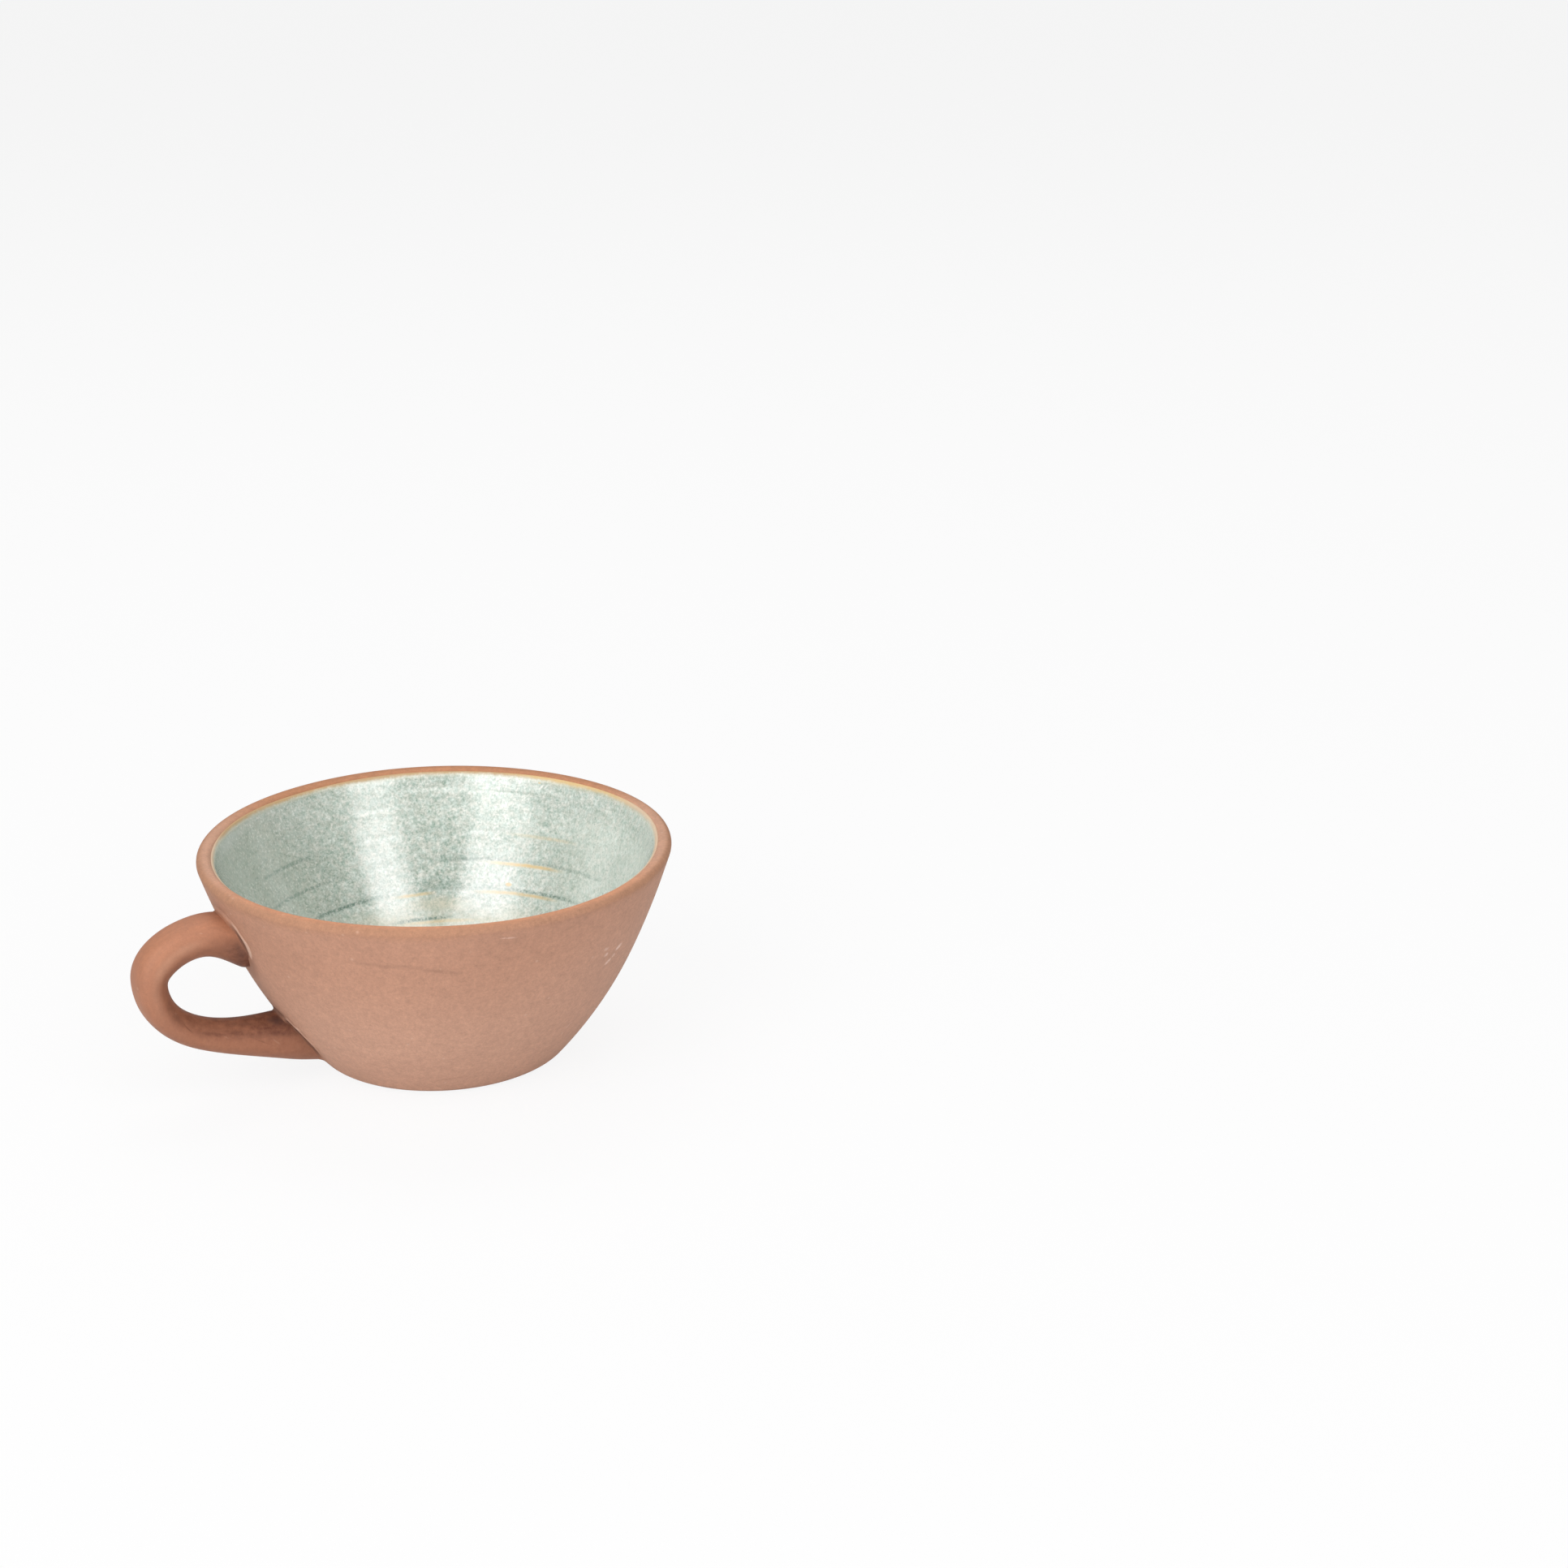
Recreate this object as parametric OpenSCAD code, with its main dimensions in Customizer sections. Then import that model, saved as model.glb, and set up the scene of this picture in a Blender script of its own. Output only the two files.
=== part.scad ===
// Hand-thrown clay cup with one pulled handle and a glazed inside.
// Millimetres. The cup stands on z = 0 round the Z axis and the handle points to -X.

/* [Bowl] */
// Diameter across the outside of the lip
rim_d = 125; // [105:1:150]
// Height of the lip above the table
cup_h = 58; // [50:1:75]
// Diameter of the standing face, out to where the heel starts to round
base_d = 61; // [50:1:72]
// Radius that turns the heel into the wall
heel_r = 4.5; // [2:0.5:7]
// How much further the wall leans at the heel than its chord, in degrees
heel_belly = 12.2; // [4:0.2:16]
// How much less the wall leans at the lip than its chord, in degrees
rim_belly = 10.8; // [4:0.2:14]
// Thickness of the lip
lip_t = 4; // [3.2:0.2:6]
// Radius on both edges of the lip
lip_edge_r = 1.5; // [0.8:0.1:1.6]
// Thickness of the floor at its middle
floor_t = 6; // [4.5:0.5:9]
// Diameter of the level middle of the floor
floor_flat_d = 34; // [20:1:38]

/* [Foot] */
// Diameter of the shallow hollow trimmed under the base
hollow_d = 46; // [30:1:48]
// Depth of that hollow
hollow_depth = 1; // [0.4:0.1:2]

/* [Throwing rings] */
// Distance from one finger groove to the next up the inside
ring_pitch = 8.5; // [5:0.5:12]
// Depth of a finger groove
ring_depth = 0.4; // [0.1:0.05:0.6]

/* [Glaze] */
// Thickness of the glaze on the wall
glaze_t = 0.6; // [0.4:0.1:1.2]
// Thickness of the glaze where it pools on the floor
glaze_pool_t = 1; // [0.6:0.1:2]

/* [Handle] */
// How far the handle stands out beyond the lip
handle_out = 22.7; // [18:0.1:30]
// Drop from the lip to the middle of the upper joint
upper_drop = 15.5; // [14:0.5:18]
// Height of the middle of the lower joint above the table
lower_h = 14; // [13:0.5:17]
// Drop from the upper joint to the outermost point of the bend
bend_drop = 7.2; // [4:0.2:10]
// Angle at which the handle leaves the upper joint, in degrees above level
rise_angle = 35; // [20:1:40]
// Angle at which the handle comes in to the lower joint, in degrees below level
fall_angle = 4; // [0:1:8]
// Thickness of the handle at its upper end
thick_top = 12; // [9:0.2:13]
// Thickness of the handle at the bend
thick_bend = 8.8; // [6:0.2:10]
// Thickness of the handle at its lower end before it flares
thick_low = 8; // [6:0.2:10]
// Width of the handle across its middle
handle_w = 11.2; // [8:0.2:14]
// Extra width of the handle where it is pressed on to the wall
press_w = 2.4; // [0:0.2:4]
// Flare of the lower end on its inner side
flare_in = 2.4; // [0:0.2:3]
// Flare of the lower end on its outer side
flare_out = 4; // [1:0.2:4]

/* [Slip seams] */
// Size of the slip fillet round each joint
seam_size = 1.6; // [1:0.1:2]

/* [Hidden] */

$fn = 144;
rim_r = rim_d / 2;
base_r = base_d / 2;
floor_flat_r = floor_flat_d / 2;

// Steps along the curves
heel_steps = 6;
lip_steps = 5;
wall_steps = 26;
points_per_ring = 9;

// Share of a chord that each curve handle reaches along its end tangent
wall_pull = 0.36;
bowl_pull_top = 0.46;
bowl_pull_floor = 0.36;

// Point on a cubic curve with ends a and d and handles b and c
function cubic(a, b, c, d, t) =
    pow(1 - t, 3) * a + 3 * pow(1 - t, 2) * t * b + 3 * (1 - t) * t * t * c + pow(t, 3) * d;

// Direction of travel along that curve
function cubic_slope(a, b, c, d, t) =
    let (v = pow(1 - t, 2) * (b - a) + 2 * (1 - t) * t * (c - b) + t * t * (d - c))
    v / norm(v);

// Points on an arc about a centre, from one angle to another
function arc(centre, radius, from, to, steps) =
    [for (i = [0 : steps])
        let (a = from + (to - from) * i / steps)
        centre + radius * [cos(a), sin(a)]];

// Outside of the bowl: heel arc, bellied wall, lip
chord_lean = atan2(rim_r - base_r, cup_h);
heel_lean = chord_lean + heel_belly;
rim_lean = chord_lean - rim_belly;
lip_out = [rim_r - lip_edge_r, cup_h - lip_edge_r];
lip_in = [rim_r - lip_t + lip_edge_r, cup_h - lip_edge_r];

heel_arc = arc([base_r, heel_r], heel_r, -90, -heel_lean, heel_steps);
lip_outer_arc = arc(lip_out, lip_edge_r, -rim_lean, 90, lip_steps);
lip_inner_arc = arc(lip_in, lip_edge_r, 90, 180 - rim_lean, lip_steps);

wall_foot = heel_arc[heel_steps];
wall_head = lip_outer_arc[0];
wall_reach = wall_pull * norm(wall_head - wall_foot);
wall_foot_pull = wall_foot + wall_reach * [sin(heel_lean), cos(heel_lean)];
wall_head_pull = wall_head - wall_reach * [sin(rim_lean), cos(rim_lean)];
wall_curve = [for (i = [1 : wall_steps - 1])
    cubic(wall_foot, wall_foot_pull, wall_head_pull, wall_head, i / wall_steps)];
outside = concat(heel_arc, wall_curve, lip_outer_arc);

// Radius of the outside at a height
outside_by_height = [for (p = outside) [p[1], p[0]]];
function wall_r(z) = lookup(z, outside_by_height);

// Inside of the bowl: one curve from the lip down to the level middle of the floor
bowl_top = lip_inner_arc[lip_steps];
bowl_floor = [floor_flat_r, floor_t];
bowl_span = norm(bowl_top - bowl_floor);
bowl_top_pull = bowl_top - bowl_pull_top * bowl_span * [sin(rim_lean), cos(rim_lean)];
bowl_floor_pull = bowl_floor + [bowl_pull_floor * bowl_span, 0];
ring_count = round(bowl_span / ring_pitch);
bowl_steps = ring_count * points_per_ring;

function bowl_point(t) = cubic(bowl_top, bowl_top_pull, bowl_floor_pull, bowl_floor, t);
// Unit vector from the inside of the bowl into the clay
function bowl_into(t) =
    let (v = cubic_slope(bowl_top, bowl_top_pull, bowl_floor_pull, bowl_floor, t))
    [-v[1], v[0]];
// Groove depth along the curve, fading out at the lip and at the floor
function groove(t) = ring_depth * pow(sin(180 * t * ring_count), 2) * sin(180 * t);
// Glaze thickness along the curve: a rounded edge under the lip, thicker to the floor
glaze_edge_share = 0.05;
function glaze_at(t) =
    let (edge = min(1, t / glaze_edge_share))
    sqrt(1 - pow(1 - edge, 2)) * (glaze_t + (glaze_pool_t - glaze_t) * pow(t, 3));
// The glaze half fills the grooves, so its own ripple is softer
glaze_follow = 0.5;

clay_inside = [for (i = [1 : bowl_steps])
    let (t = i / bowl_steps) bowl_point(t) + groove(t) * bowl_into(t)];
glaze_inside = [for (i = [1 : bowl_steps])
    let (t = i / bowl_steps)
    bowl_point(t) + (glaze_follow * groove(t) - glaze_at(t)) * bowl_into(t)];

// Handle: a centre line of two curves in the XZ plane, given as distance from the axis and height
upper_z = cup_h - upper_drop;
bend_point = [rim_r + handle_out - thick_bend / 2, upper_z - bend_drop];
upper_point = [wall_r(upper_z), upper_z];
lower_point = [wall_r(lower_h), lower_h];
// Lengths by which the line keeps to its end directions
upper_pull = 13;
bend_pull_up = 6;
bend_pull_down = 16.5;
lower_pull = 18;
upper_handle = upper_point + upper_pull * [cos(rise_angle), sin(rise_angle)];
bend_handle_up = bend_point + [0, bend_pull_up];
bend_handle_down = bend_point - [0, bend_pull_down];
lower_handle = lower_point + lower_pull * [cos(fall_angle), sin(fall_angle)];
// The line runs on straight past both ends, so that it always meets the wall
run_on = 0.6;
run_length = 40;

// Centre line from 0 at the upper joint, 1 at the bend, to 2 at the lower joint
function line_slope(u) =
    u <= 1 ? cubic_slope(upper_point, upper_handle, bend_handle_up, bend_point, max(u, 0))
           : cubic_slope(bend_point, bend_handle_down, lower_handle, lower_point, min(u - 1, 1));
function line_point(u) =
    u < 0 ? upper_point + u * run_length * line_slope(0)
    : u > 2 ? lower_point + (u - 2) * run_length * line_slope(2)
    : u <= 1 ? cubic(upper_point, upper_handle, bend_handle_up, bend_point, u)
             : cubic(bend_point, bend_handle_down, lower_handle, lower_point, u - 1);

// Half sizes of the section along the line
flare_span = 0.5;
press_span = 0.7;
function low_flare(u) = pow(max(0, 1 - max(2 - u, 0) / flare_span), 2);
function press(u) = pow(max(0, 1 - min(u, 2 - u) / press_span), 2);
function half_thick(u) =
    (u < 1 ? thick_top + (thick_bend - thick_top) * max(u, 0)
           : thick_bend + (thick_low - thick_bend) * min(u - 1, 1)) / 2;
function half_wide(u) = (handle_w + press_w * min(press(u), 1)) / 2;
function half_out(u) = half_thick(u) + flare_out * low_flare(u);
function half_in(u) = half_thick(u) + flare_in * low_flare(u);

// The section is a softly squared oval
section_power = 0.83;
function squared(v) = sign(v) * pow(abs(v), section_power);

// Point of the handle's skin: u along the line, a round the section
function skin(u, a) =
    let (p = line_point(u), v = line_slope(u), c = squared(cos(a)), s = squared(sin(a)))
    let (d = c * (c > 0 ? half_out(u) : half_in(u)))
    [-(p[0] - d * v[1]), half_wide(u) * s, p[1] + d * v[0]];

// Where a line along the skin meets the wall, by halving between a station that lies in the wall
// and one that lies clear of it
upper_clear = 0.8;
lower_clear = 1.2;
halvings = 22;
function outside_wall(p) = norm([p[0], p[1]]) > wall_r(p[2]);
function meet(a, inner, outer, left) =
    left == 0 ? (inner + outer) / 2
    : let (m = (inner + outer) / 2)
      outside_wall(skin(m, a)) ? meet(a, inner, m, left - 1) : meet(a, m, outer, left - 1);

// The handle is a ring of skin lines, each cut off at the wall at both ends
around = 36;
along = 44;
turns = [for (i = [0 : around - 1]) 360 * i / around];
upper_meet = [for (a = turns) meet(a, -run_on, upper_clear, halvings)];
lower_meet = [for (a = turns) meet(a, 2 + run_on, lower_clear, halvings)];

// Station at which a skin line stands a given way off the wall
function step_off(u, a, way, length) =
    let (near = skin(u, a), far = skin(u + way, a))
    u + way * length / norm(far - near);
nudge = 0.02;
upper_seam_at = [for (i = [0 : around - 1])
    step_off(upper_meet[i], turns[i], nudge, seam_size)];
lower_seam_at = [for (i = [0 : around - 1])
    step_off(lower_meet[i], turns[i], -nudge, seam_size)];
stations = [for (j = [0 : along])
    [for (i = [0 : around - 1])
        j == 0 ? upper_meet[i]
        : j == along ? lower_meet[i]
        : upper_seam_at[i] + (lower_seam_at[i] - upper_seam_at[i]) * (j - 1) / (along - 2)]];
handle_rings = [for (j = [0 : along])
    [for (i = [0 : around - 1]) skin(stations[j][i], turns[i])]];

// Bring a point on to the wall at its own height
function on_wall(p) = let (k = wall_r(p[2]) / norm([p[0], p[1]])) [p[0] * k, p[1] * k, p[2]];
function sum(list, i = 0) = i == len(list) - 1 ? list[i] : list[i] + sum(list, i + 1);
function middle(ring) = on_wall(sum(ring) / len(ring));

// End rings that follow the wall in towards the middle of the joint
end_shares = [0.75, 0.5, 0.25];
function end_rings(ring) =
    let (m = middle(ring)) [for (k = end_shares) [for (p = ring) on_wall(m + k * (p - m))]];
function flip(list) = [for (i = [len(list) - 1 : -1 : 0]) list[i]];

// Faces that join each ring to the next, and the last to the first when the band is closed
function band_faces(rings, closed) =
    [for (j = [0 : closed ? rings - 1 : rings - 2], i = [0 : around - 1])
        let (n = (i + 1) % around, r = j * around, q = ((j + 1) % rings) * around)
        each [[r + i, q + n, r + n], [r + i, q + i, q + n]]];

module cup_body() {
    color("#bd937c")
    rotate_extrude()
    polygon(concat(
        [[0, hollow_depth], [hollow_d / 2, hollow_depth], [hollow_d / 2 + hollow_depth, 0]],
        outside, lip_inner_arc, clay_inside, [[0, floor_t]]));
}

module glaze_lining() {
    color("#c3cfc4")
    rotate_extrude()
    polygon(concat(
        [bowl_top], clay_inside, [[0, floor_t], [0, floor_t + glaze_pool_t]], flip(glaze_inside)));
}

module handle() {
    rings = concat(
        flip(end_rings(handle_rings[0])), handle_rings, end_rings(handle_rings[along]));
    ring_total = len(rings);
    first = ring_total * around;
    last = first + 1;
    tail = (ring_total - 1) * around;
    points = concat(
        [for (r = rings) each r], [middle(handle_rings[0]), middle(handle_rings[along])]);
    faces = concat(
        band_faces(ring_total, false),
        [for (i = [0 : around - 1]) [first, i, (i + 1) % around]],
        [for (i = [0 : around - 1]) [last, tail + (i + 1) % around, tail + i]]);
    color("#ba8265")
    polyhedron(points = points, faces = faces);
}

// Fillet of slip in the corner between the wall and one end of the handle
fillet_fill = 0.36;
module slip_seam(corner, up, turned) {
    m = middle(corner);
    spread = [for (p = corner) on_wall(p + seam_size * (p - m) / norm(p - m))];
    face = [for (i = [0 : around - 1])
        corner[i] + fillet_fill * (spread[i] + up[i] - 2 * corner[i])];
    rings = turned ? [corner, up, face, spread] : [corner, spread, face, up];
    color("#c39b84")
    polyhedron(points = [for (r = rings) each r], faces = band_faces(len(rings), true));
}

module upper_slip_seam() {
    slip_seam(handle_rings[0], handle_rings[1], false);
}

module lower_slip_seam() {
    slip_seam(handle_rings[along], handle_rings[along - 1], true);
}

cup_body();
glaze_lining();
handle();
upper_slip_seam();
lower_slip_seam();
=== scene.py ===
from math import atan2, cos, degrees, pi, radians, sin

import bpy
import numpy as np
from mathutils import Euler, Matrix, Vector


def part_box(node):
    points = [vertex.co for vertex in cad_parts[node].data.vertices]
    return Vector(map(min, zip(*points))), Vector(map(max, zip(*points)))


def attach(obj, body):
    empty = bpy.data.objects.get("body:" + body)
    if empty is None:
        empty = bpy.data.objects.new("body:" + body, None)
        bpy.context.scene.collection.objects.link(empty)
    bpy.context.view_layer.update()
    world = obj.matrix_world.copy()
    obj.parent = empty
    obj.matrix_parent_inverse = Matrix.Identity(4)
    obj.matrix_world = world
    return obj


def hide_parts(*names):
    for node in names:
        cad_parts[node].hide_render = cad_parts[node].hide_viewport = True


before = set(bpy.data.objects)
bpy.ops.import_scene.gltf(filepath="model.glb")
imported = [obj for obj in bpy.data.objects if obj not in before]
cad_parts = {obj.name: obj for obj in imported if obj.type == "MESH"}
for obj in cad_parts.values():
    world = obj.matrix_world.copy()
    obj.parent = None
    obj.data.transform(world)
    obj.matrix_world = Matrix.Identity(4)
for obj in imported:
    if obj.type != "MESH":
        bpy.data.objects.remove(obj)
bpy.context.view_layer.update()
mm = 0.001  # shapes are worked out in millimetres and written to the meshes in metres
mapScale = 100  # mm down the bowl or the glaze to one unit of its surface map

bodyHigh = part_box("cup_body")[1]
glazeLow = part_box("glaze_lining")[0]
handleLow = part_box("handle")[0]
print("frame loaded:", len(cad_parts), "nodes")


# Curves and meshes

def unit(v):
    # Vectors divided by their lengths
    return v / np.linalg.norm(v, axis=-1, keepdims=True)


def cubic(a, b, c, d, t):
    # Point on a cubic curve with ends a and d and handles b and c: each weighted by powers of t and 1 - t
    t = np.asarray(t)[..., None]
    s = 1 - t
    return s**3 * a + 3 * s**2 * t * b + 3 * s * t**2 * c + t**3 * d


def cubicSlope(a, b, c, d, t):
    # Unit direction of travel along that curve, from its first derivative
    t = np.asarray(t)[..., None]
    s = 1 - t
    return unit(s**2 * (b - a) + 2 * s * t * (c - b) + t**2 * (d - c))


def arc(centre, radius, start, end, count=40):
    # Points at even angles, in degrees, round a centre
    angle = np.radians(np.linspace(start, end, count))
    return np.asarray(centre) + radius * np.stack([np.cos(angle), np.sin(angle)], -1)


def leanWay(lean):
    # Unit vector that leans outward from the upright by an angle in degrees
    return np.array([sin(radians(lean)), cos(radians(lean))])


def smooth(x, low, high):
    # Eases from 0 at low to 1 at high: 3k squared less 2k cubed
    k = np.clip((x - low) / (high - low), 0, 1)
    return k * k * (3 - 2 * k)


def bell(x, width):
    # 1 at 0, falling away on both sides with the square of the distance
    return np.exp(-(x / width)**2)


def handWaves(seed, around, along, turns, pace, terms=9):
    # Sum of cosines of whole turns round the cup and slow waves along it, each with its own phase,
    # scaled to stay within about -1 to 1
    draw = np.random.default_rng(seed)
    total = 0
    for turn, beat, phase in zip(draw.integers(1, turns + 1, terms),
                                 draw.uniform(-pace, pace, terms),
                                 draw.uniform(0, 2 * pi, terms)):
        total = total + np.cos(turn * around + beat * along + phase)
    return total / terms**0.5 / 1.6


def traced(points, origin=0):
    # An outline as distance along it from a chosen point, place, and the normal that faces the air
    dist = np.concatenate([[0], np.cumsum(np.linalg.norm(np.diff(points, axis=0), axis=1))])
    way = unit(np.gradient(points, dist, axis=0))
    return {"s": dist - dist[origin], "r": points[:, 0], "z": points[:, 1],
            "nr": way[:, 1], "nz": -way[:, 0]}


def onLine(line, s):
    # Radius, height and normal at a distance along an outline
    return [np.interp(s, line["s"], line[key]) for key in ("r", "z", "nr", "nz")]


def turnWaves(around, waves):
    # Cosines of whole turns, each with its phase and share, added and divided by the sum of the shares
    whole = sum(share for turns, phase, share in waves)
    return sum(share * np.cos(turns * around + phase) for turns, phase, share in waves) / whole


def turned(r, z, around):
    # Radius and height carried round the Z axis
    return np.stack([r * np.cos(around), r * np.sin(around), z + 0 * around], -1)


def lifted(line, s, lift, around):
    # Places at distances along an outline, lifted along their normals and carried round the Z axis
    r, z, nr, nz = onLine(line, s)
    return turned(r + lift * nr, z + lift * nz, around)


def newObject(name, data):
    # An object with its data, put in the scene
    made = bpy.data.objects.new(name, data)
    bpy.context.scene.collection.objects.link(made)
    return made


def ringMesh(name, rows, uv, poles=(), loop=False):
    # Rings of points joined by quads, ring to ring and step to step; poles close the two ends with
    # fans, or the last ring joins the first. uv has one step more than the rings, so its seam closes.
    ringCount, stepCount = rows.shape[:2]
    bands = ringCount if loop else ringCount - 1
    ring, step = np.meshgrid(np.arange(bands), np.arange(stepCount), indexing="ij")
    nextRing, nextStep = (ring + 1) % ringCount, (step + 1) % stepCount
    quads = np.stack([ring * stepCount + step, ring * stepCount + nextStep,
                      nextRing * stepCount + nextStep, nextRing * stepCount + step], -1)
    quadUv = np.stack([uv[ring, step], uv[ring, step + 1], uv[ring + 1, step + 1], uv[ring + 1, step]], 2)
    points = rows.reshape(-1, 3)
    faces = [quads.reshape(-1, 4)]
    corners = [quadUv.reshape(-1, 2)]
    at = np.arange(stepCount)
    for pole, last, order in zip(poles, (0, ringCount - 1), ([0, 2, 1], [0, 1, 2])):
        tip = np.full(stepCount, len(points))
        points = np.concatenate([points, [pole]])
        fan = np.stack([tip, last * stepCount + at, last * stepCount + (at + 1) % stepCount], -1)
        start, end = uv[last, :-1], uv[last, 1:]
        fanUv = np.stack([(start + end) / 2, start, end], 1)
        faces.append(fan[:, order])
        corners.append(fanUv[:, order].reshape(-1, 2))
    # six times the signed volume tells which way the faces look
    volume = 0
    for face in faces:
        p = points[face]
        for k in range(1, face.shape[1] - 1):
            volume += np.einsum("ij,ij->", p[:, 0], np.cross(p[:, k], p[:, k + 1]))
    if volume < 0:
        faces = [face[:, ::-1] for face in faces]
        corners = [c.reshape(-1, f.shape[1], 2)[:, ::-1].reshape(-1, 2) for c, f in zip(corners, faces)]
    mesh = bpy.data.meshes.new(name)
    mesh.from_pydata((points * mm).tolist(), [], [f for face in faces for f in face.tolist()])
    layer = mesh.uv_layers.new(name="surface")
    layer.data.foreach_set("uv", np.concatenate(corners).astype(np.float32).ravel())
    mesh.shade_smooth()
    mesh.validate()
    return newObject(name, mesh)


def surfaceMap(steps, along):
    # Share of a turn and place along, for every ring, with one step more to close the seam
    return np.stack(np.broadcast_arrays(np.linspace(0, 1, steps + 1)[None], along[:, None]), -1)


def pointMask(piece, name, values, poles=0):
    # A value for each point of the rings, kept on the mesh as an attribute; poles take 0
    layer = piece.data.attributes.new(name, "FLOAT", "POINT")
    values = np.concatenate([np.ravel(values), np.zeros(poles)])
    layer.data.foreach_set("value", values.astype(np.float32))


def settle(piece, node, material):
    # The piece stands for its solid, rides with the cup and wears its finish
    piece.data.materials.append(material)
    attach(piece, "root")
    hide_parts(node)


# The thrown bowl: sizes in mm, leans in degrees

bowl = dict(
    rimR=bodyHigh.x / mm,
    height=bodyHigh.z / mm,
    baseR=30.5, heelR=4.5,
    heelBelly=12.2, rimBelly=10.8,  # how much more the wall leans at the heel, and less at the rim
    wallPull=0.36,  # reach of its curve's handles, as a share of its length
    lipT=4.0, lipEdgeR=1.5,
    floorT=glazeLow.z / mm, floorFlatR=17.0,
    pullTop=0.46, pullFloor=0.36,  # reach of the inside's handles
    hollowR=23.0, hollowDepth=1.0,  # under the foot
    around=384,
    rings=(10, 14, 66, 40, 36, 6),  # over the hollow, heel, wall, lip, inside and floor
    oval=0.0012,  # share by which the rim is out of round
    ovalWaves=[(2, -0.7, 1), (3, 1.1, 0.5)],  # turns, phase, share
    lipWave=0.12,  # rise and fall of the lip
    lipWaves=[(2, 2.0, 1), (5, 0, 0.6)],
    dip=0.9,  # how much lower the lip is on one side
    dipAt=-71.6,  # where that is round the cup, and half its length
    dipHalf=60.0,
    dipFrom=0.87,  # share of the height above which the wall follows it
    skinWave=0.06,  # unevenness left by the hand on the outside
)


def bowlLines(b):
    # Outside: heel arc, cubic wall, lip arc. Inside: lip arc, cubic bowl, level floor. Under: a hollow.
    chordLean = degrees(atan2(b["rimR"] - b["baseR"], b["height"]))
    heelLean, rimLean = chordLean + b["heelBelly"], chordLean - b["rimBelly"]
    edge = b["lipEdgeR"]
    heel = arc([b["baseR"], b["heelR"]], b["heelR"], -90, -heelLean)
    lipOut = arc([b["rimR"] - edge, b["height"] - edge], edge, -rimLean, 90)
    lipIn = arc([b["rimR"] - b["lipT"] + edge, b["height"] - edge], edge, 90, 180 - rimLean)
    t = np.linspace(0, 1, 500)
    reach = b["wallPull"] * np.linalg.norm(lipOut[0] - heel[-1])
    wall = cubic(heel[-1], heel[-1] + reach * leanWay(heelLean),
                 lipOut[0] - reach * leanWay(rimLean), lipOut[0], t)
    foot = np.array([b["floorFlatR"], b["floorT"]])
    span = np.linalg.norm(lipIn[-1] - foot)
    inner = cubic(lipIn[-1], lipIn[-1] - b["pullTop"] * span * leanWay(rimLean),
                  foot + [b["pullFloor"] * span, 0], foot, t)
    level = np.linspace(foot, [0, b["floorT"]], 30)
    hollow, depth = b["hollowR"], b["hollowDepth"]
    under = np.array([[0, depth], [hollow, depth], [hollow + depth, 0]])
    outside = np.concatenate([heel, wall[1:], lipOut[1:]])
    inside = np.concatenate([lipIn, inner[1:], level[1:]])
    return under, outside, inside, len(lipIn) - 1


underLine, outsidePoints, insidePoints, glazeStart = bowlLines(bowl)
wholeLine = traced(np.concatenate([underLine, outsidePoints, insidePoints[1:]]), len(underLine))
outsideLine = traced(outsidePoints)
insideLine = traced(insidePoints, glazeStart)  # measured down from the end of the lip
lipTop = outsideLine["s"][-1]


def wallRadius(z):
    # Radius of the outside at a height
    return np.interp(z, outsideLine["z"], outsideLine["r"])


def asThrown(points):
    # Small faults of throwing that every piece shares: radius grows and shrinks with twice and three
    # times the turn, the lip rises and falls, and it dips on one side as a squared cosine of the turn
    b = bowl
    x, y, z = np.moveaxis(points, -1, 0)
    around = np.arctan2(y, x)
    high = np.clip(z / b["height"], 0, 1)
    grow = 1 + b["oval"] * high**2 * turnWaves(around, b["ovalWaves"])
    rise = b["lipWave"] * high**4 * turnWaves(around, b["lipWaves"])
    apart = (np.degrees(around) - b["dipAt"] + 180) % 360 - 180
    dip = b["dip"] * np.cos(np.clip(apart / b["dipHalf"], -1, 1) * pi / 2)**2
    dip = dip * smooth(high, b["dipFrom"], 1)
    return np.stack([x * grow, y * grow, z + rise - dip], -1)


def makeBowl():
    # The whole outline turned round the axis, pushed along its normal by slow waves on the outside
    b = bowl
    underMiddle, underEdge, *_, middle = wholeLine["s"]
    # where each stretch of rings begins: closer rings at the heel and over the lip
    begins = [underEdge, 0, 6, lipTop - 4, lipTop + 6, middle - b["floorFlatR"], middle - 1]
    s = [np.linspace(*stretch, endpoint=False) for stretch in zip(begins, begins[1:], b["rings"])]
    s = np.concatenate([[underMiddle + 4], *s])
    around = np.linspace(-pi, pi, b["around"], endpoint=False)
    sGrid, turn = np.meshgrid(s, around, indexing="ij")
    outer = smooth(sGrid, 4, 16) * (1 - smooth(sGrid, lipTop - 2, lipTop))
    push = b["skinWave"] * outer * handWaves(3, turn, sGrid, 7, 0.35)
    rows = asThrown(lifted(wholeLine, sGrid, push, turn))
    poles = [(0, 0, b["hollowDepth"]), (0, 0, b["floorT"])]
    return ringMesh("thrown_bowl", rows, surfaceMap(b["around"], s / mapScale), poles), rows


# The coat of glaze inside

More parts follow.
